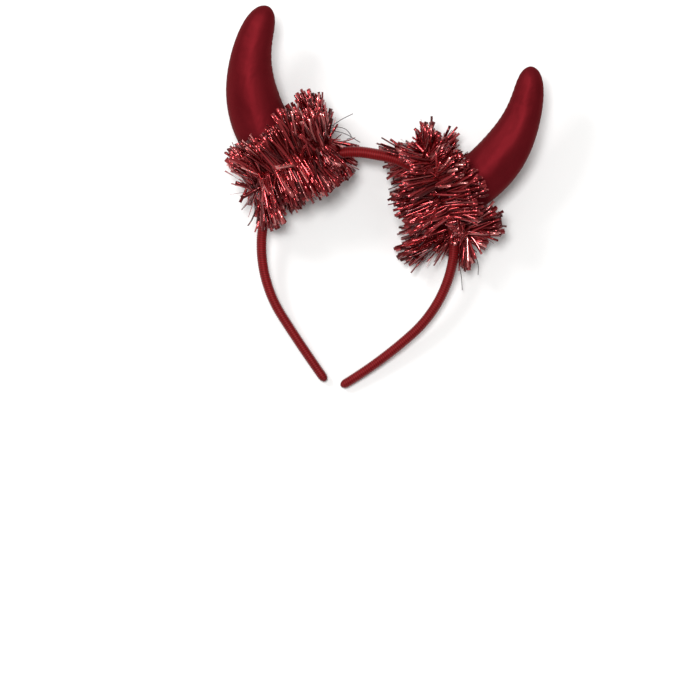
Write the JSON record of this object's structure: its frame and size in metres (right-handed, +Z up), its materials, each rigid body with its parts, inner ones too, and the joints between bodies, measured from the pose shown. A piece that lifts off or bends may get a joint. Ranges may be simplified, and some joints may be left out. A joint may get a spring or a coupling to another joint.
{
  "type": "devil horns headband",
  "caption": "Costume headband: a thread-wound springy hoop with stuffed, inward-curving metallic cloth horns, each standing in a shaggy ring of red tinsel.",
  "frame": {"origin": "on the surface that it lies on, under the centre of its bounding box", "axes": "+Z up from the surface, +Y from the hoop's open ends towards the horn tips, +X towards the right-hand horn seen from above"},
  "size_m": [0.1952, 0.2236, 0.0633],
  "materials": {
    "thread": "satin thread wound tightly round a plastic core",
    "metallic_cloth": "smooth metallic satin, stuffed",
    "tinsel_foil": "metallised film cut into narrow strips"
  },
  "bodies": {
    "root": {"headband": "thread", "left_horn": "metallic_cloth", "right_horn": "metallic_cloth", "left_tinsel": "tinsel_foil", "right_tinsel": "tinsel_foil"}
  },
  "joints": []
}
